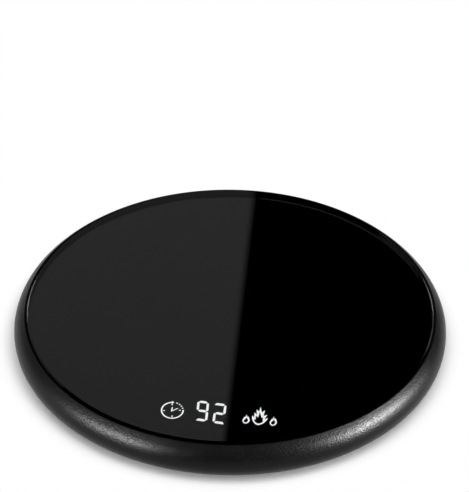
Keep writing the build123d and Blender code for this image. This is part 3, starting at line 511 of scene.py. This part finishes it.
def digits(finish):
    """The digits 9 and 2 as the display shows them; "tl" is the top left corner, and so on."""
    nine = {
        "tl": (-4.5, -42.5), "tr": (-1.8, -42.75),
        "ml": (-4.35, -46.35), "mr": (-1.6, -46.6),
        "bl": (-4.4, -50.2), "br": (-1.45, -50.55),
    }
    two = {
        "tl": (0.1, -42.95), "tr": (3.3, -43.25),
        "ml": (0.65, -46.85), "mr": (3.35, -47.25),
        "bl": (0.7, -50.8), "br": (3.85, -51.1),
    }
    nine_bars = [
        ("tl", "tr", flat_bar), ("tl", "ml", upright_bar), ("tr", "mr", upright_bar),
        ("ml", "mr", flat_bar), ("mr", "br", upright_bar), ("bl", "br", flat_bar, -1, 0),
    ]
    two_bars = [
        ("tl", "tr", flat_bar, -1, 0), ("tr", "mr", upright_bar), ("ml", "mr", flat_bar),
        ("ml", "bl", upright_bar), ("bl", "br", flat_bar, 0, -1),
    ]
    digit("digit_nine", nine, nine_bars, finish)
    digit("digit_two", two, two_bars, finish)


def flames(finish):
    """One large flame, and a small one on each side of it."""
    outer = [
        (11.35, -46.7), (11.95, -47.5), (11.85, -45.4), (12.6, -46.3), (12.3, -44.1),
        (13.1, -44.8), (13.35, -42.75), (13.95, -45.2), (14.7, -44.05), (14.55, -46.7),
        (15.55, -45.95), (14.95, -48.0), (15.9, -47.4), (15.45, -48.7), (14.9, -49.6),
        (14.2, -50.25), (13.45, -50.7), (12.6, -50.4), (11.9, -49.45), (11.4, -48.25),
    ]
    inner = [
        (11.95, -48.6), (12.35, -49.4), (12.9, -49.9), (13.45, -50.05), (14.1, -49.75),
        (14.7, -49.0), (14.45, -48.6), (14.5, -47.3), (14.05, -47.5), (13.7, -46.2),
        (13.25, -45.0), (13.2, -46.3), (13.05, -47.5), (12.4, -46.6), (12.4, -48.4),
    ]
    lit_piece("large_flame", [[outer, inner]], finish)
    small_outer = [
        (9.75, -46.5), (9.95, -47.5), (10.35, -47.35), (10.7, -48.3), (10.85, -49.3),
        (10.35, -50.15), (9.85, -50.5), (9.25, -50.35), (8.85, -49.65), (8.75, -48.9),
        (9.05, -48.3), (9.1, -47.55), (9.45, -47.75),
    ]
    small_inner = [
        (9.8, -47.8), (10.2, -48.5), (10.4, -49.3), (9.85, -50.05), (9.3, -49.85),
        (9.1, -49.1), (9.45, -48.75),
    ]
    left = [small_outer, small_inner]
    right = [[(x + flames_apart, y) for x, y in loop] for loop in left]
    lit_piece("small_flames", [left, right], finish)


def display():
    """The printed ink under the glass and the lit symbols in it."""
    low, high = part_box("glass_panel")
    edge = disc((0, 0), (high.x - low.x) / 2 - ink_edge_gap, ink_corners)
    flat_piece("ink_layer", [[edge]], ink_bottom, ink_top, black_ink())
    lit = lit_symbol()
    timer_symbol(lit)
    digits(lit)
    flames(lit)


# ---------------------------------------------------------------- studio

def background_rays(tree):
    """1 for camera, mirror and glass rays, 0 for those that light the object."""
    rays = tree.nodes.new("ShaderNodeLightPath").outputs
    seen = tree.number("MAXIMUM", rays["Is Camera Ray"], rays["Is Glossy Ray"])
    return tree.number("MAXIMUM", seen, rays["Is Transmission Ray"])


def studio_world():
    """White behind everything, and a plain level of soft light on the object."""
    world = bpy.data.worlds.new("studio")
    bpy.context.scene.world = world
    tree = Tree(world)
    background = tree.nodes["Background"]
    background.inputs["Color"].default_value = (1, 1, 1, 1)
    level = tree.ranged(background_rays(tree), (0, 1), (fill_light, 1))
    tree.links.new(level, background.inputs["Strength"])


def floor_material():
    """White sweep: it takes the object's shadow, and goes to pure white away from it."""
    material = bpy.data.materials.new("floor_white")
    tree = Tree(material)
    paper = tree.nodes["Principled BSDF"]
    paper.inputs["Base Color"].default_value = floor_colour
    paper.inputs["Roughness"].default_value = floor_roughness
    paper.inputs["Specular IOR Level"].default_value = 0.0
    camera_rays = tree.nodes.new("ShaderNodeLightPath").outputs["Is Camera Ray"]
    glow = tree.nodes.new("ShaderNodeEmission")
    tree.links.new(tree.number("MULTIPLY", camera_rays, floor_glow), glow.inputs["Strength"])
    shaded = tree.nodes.new("ShaderNodeAddShader")
    tree.links.new(paper.outputs[0], shaded.inputs[0])
    tree.links.new(glow.outputs[0], shaded.inputs[1])
    place = tree.nodes.new("ShaderNodeTexCoord").outputs["Object"]
    offset = tree.vector("SUBTRACT", place, shadow_centre)["Vector"]
    distance = tree.vector("LENGTH", offset)["Value"]
    away = tree.ranged(distance, (shaded_radius, white_radius), (0, 1), "SMOOTHSTEP")
    white = tree.nodes.new("ShaderNodeEmission")
    mix = tree.nodes.new("ShaderNodeMixShader")
    tree.links.new(tree.number("MULTIPLY", away, background_rays(tree)), mix.inputs["Fac"])
    tree.links.new(shaded.outputs[0], mix.inputs[1])
    tree.links.new(white.outputs[0], mix.inputs[2])
    tree.links.new(mix.outputs[0], tree.nodes["Material Output"].inputs["Surface"])
    return material


def staged_mesh(name, mesh, material):
    """A thing of the studio, which isn't part of the object."""
    thing = new_object(name, mesh, material)
    return thing


def studio_floor():
    mesh = bmesh.new()
    bmesh.ops.create_circle(mesh, cap_ends=True, segments=96, radius=floor_radius)
    staged_mesh("floor", mesh, floor_material())


def hood_material():
    """Black cloth that the glass mirrors, with a grey card on its left at the back."""
    material = bpy.data.materials.new("hood_cloth")
    tree = Tree(material)
    tree.nodes.remove(tree.nodes["Principled BSDF"])
    place = tree.nodes.new("ShaderNodeTexCoord").outputs["Object"]
    across = tree.vector("DOT_PRODUCT", place, card_side)["Value"]
    left = tree.ranged(across, (0, card_fade), (0, card_grey))
    parts = tree.nodes.new("ShaderNodeSeparateXYZ")
    tree.links.new(place, parts.inputs[0])
    behind = tree.number("GREATER_THAN", parts.outputs["Y"], 0.0)
    glow = tree.nodes.new("ShaderNodeEmission")
    tree.links.new(tree.number("MULTIPLY", left, behind), glow.inputs["Strength"])
    tree.links.new(glow.outputs[0], tree.nodes["Material Output"].inputs["Surface"])
    return material


def studio_hood():
    """A dome that only mirror and glass rays meet."""
    mesh = bmesh.new()
    bmesh.ops.create_uvsphere(mesh, u_segments=96, v_segments=48, radius=hood_radius)
    below = [f for f in mesh.faces if f.calc_center_median().z < 0]
    bmesh.ops.delete(mesh, geom=below, context="FACES")
    hood = staged_mesh("hood", mesh, hood_material())
    hood.visible_camera = hood.visible_diffuse = hood.visible_shadow = False


def softbox(name, direction, size, watts, gloss=True, light=True):
    """A flat lamp that faces the rim; it may show as gloss, give light and shadow, or both."""
    lamp = bpy.data.lights.new(name, "AREA")
    lamp.shape = "RECTANGLE"
    lamp.size, lamp.size_y = size
    lamp.energy = watts
    thing = bpy.data.objects.new(name, lamp)
    thing.location = rim_centre + Vector(direction).normalized() * lamp_distance
    thing.rotation_mode = "QUATERNION"
    thing.rotation_quaternion = Vector(direction).to_track_quat("Z", "Y")
    thing.visible_camera = False
    thing.visible_glossy = thing.visible_transmission = gloss
    thing.visible_diffuse = light
    bpy.context.scene.collection.objects.link(thing)
    return thing


def link_group(name, things):
    """A collection of the things that a lamp lights, or of those that cast its shadow."""
    group = bpy.data.collections.new(name)
    for thing in things:
        group.objects.link(thing)
    return group


def flag_cloth():
    """Matt black."""
    material = bpy.data.materials.new("flag_cloth")
    cloth = Tree(material).nodes["Principled BSDF"]
    cloth.inputs["Base Color"].default_value = (0, 0, 0, 1)
    cloth.inputs["Specular IOR Level"].default_value = 0.0
    return material


def black_flag(name, start, end, cloth):
    """An upright black card, unseen by the camera, that keeps a strip off part of the rim."""
    mesh = bmesh.new()
    corners = [(*start, 0), (*end, 0), (*end, flag_height), (*start, flag_height)]
    mesh.faces.new([mesh.verts.new(corner) for corner in corners])
    flag = staged_mesh(name, mesh, cloth)
    flag.visible_camera = flag.visible_diffuse = flag.visible_transmission = False
    return flag


def studio_lamps(frame):
    """A lamp that gives light and shadow, and strips that show as gloss, but not on the glass."""
    top = softbox("top_softbox", *top_lamp, gloss=False)
    glossy = [node for name, node in frame["nodes"].items() if name != "glass_panel"]
    for name, lamp in strip_lamps.items():
        strip = softbox(name, *lamp, light=False)
        strip.light_linking.receiver_collection = link_group(name + "_lit", glossy)
    cloth = flag_cloth()
    flags = [black_flag(name, *ends, cloth) for name, ends in flag_ends.items()]
    meshes = [thing for thing in bpy.context.scene.objects if thing.type == "MESH"]
    casts = [thing for thing in meshes if thing not in flags]
    top.light_linking.blocker_collection = link_group("top_softbox_casts", casts)


def photo_camera():
    """The photograph's camera; the picture is tilted by a small roll."""
    away = Vector((
        sin(camera_turn) * cos(camera_elevation),
        -cos(camera_turn) * cos(camera_elevation),
        sin(camera_elevation),
    ))
    right = Vector((cos(camera_turn), sin(camera_turn), 0))
    up = away.cross(right)
    data = bpy.data.cameras.new("camera")
    data.lens, data.sensor_width = camera_lens, camera_sensor
    camera = bpy.data.objects.new("camera", data)
    camera.location = rim_centre + camera_distance * away
    aim = rim_centre + aim_right * right + aim_up * up
    camera.rotation_mode = "QUATERNION"
    look = (aim - camera.location).to_track_quat("-Z", "Y")
    camera.rotation_quaternion = look @ Quaternion((0, 0, 1), camera_roll)
    bpy.context.scene.collection.objects.link(camera)
    bpy.context.scene.camera = camera


def main():
    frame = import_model()
    dress_nodes(frame, object_materials())
    display()
    studio_world()
    studio_floor()
    studio_hood()
    studio_lamps(frame)
    photo_camera()
    bpy.context.scene.view_settings.view_transform = "Standard"


main()
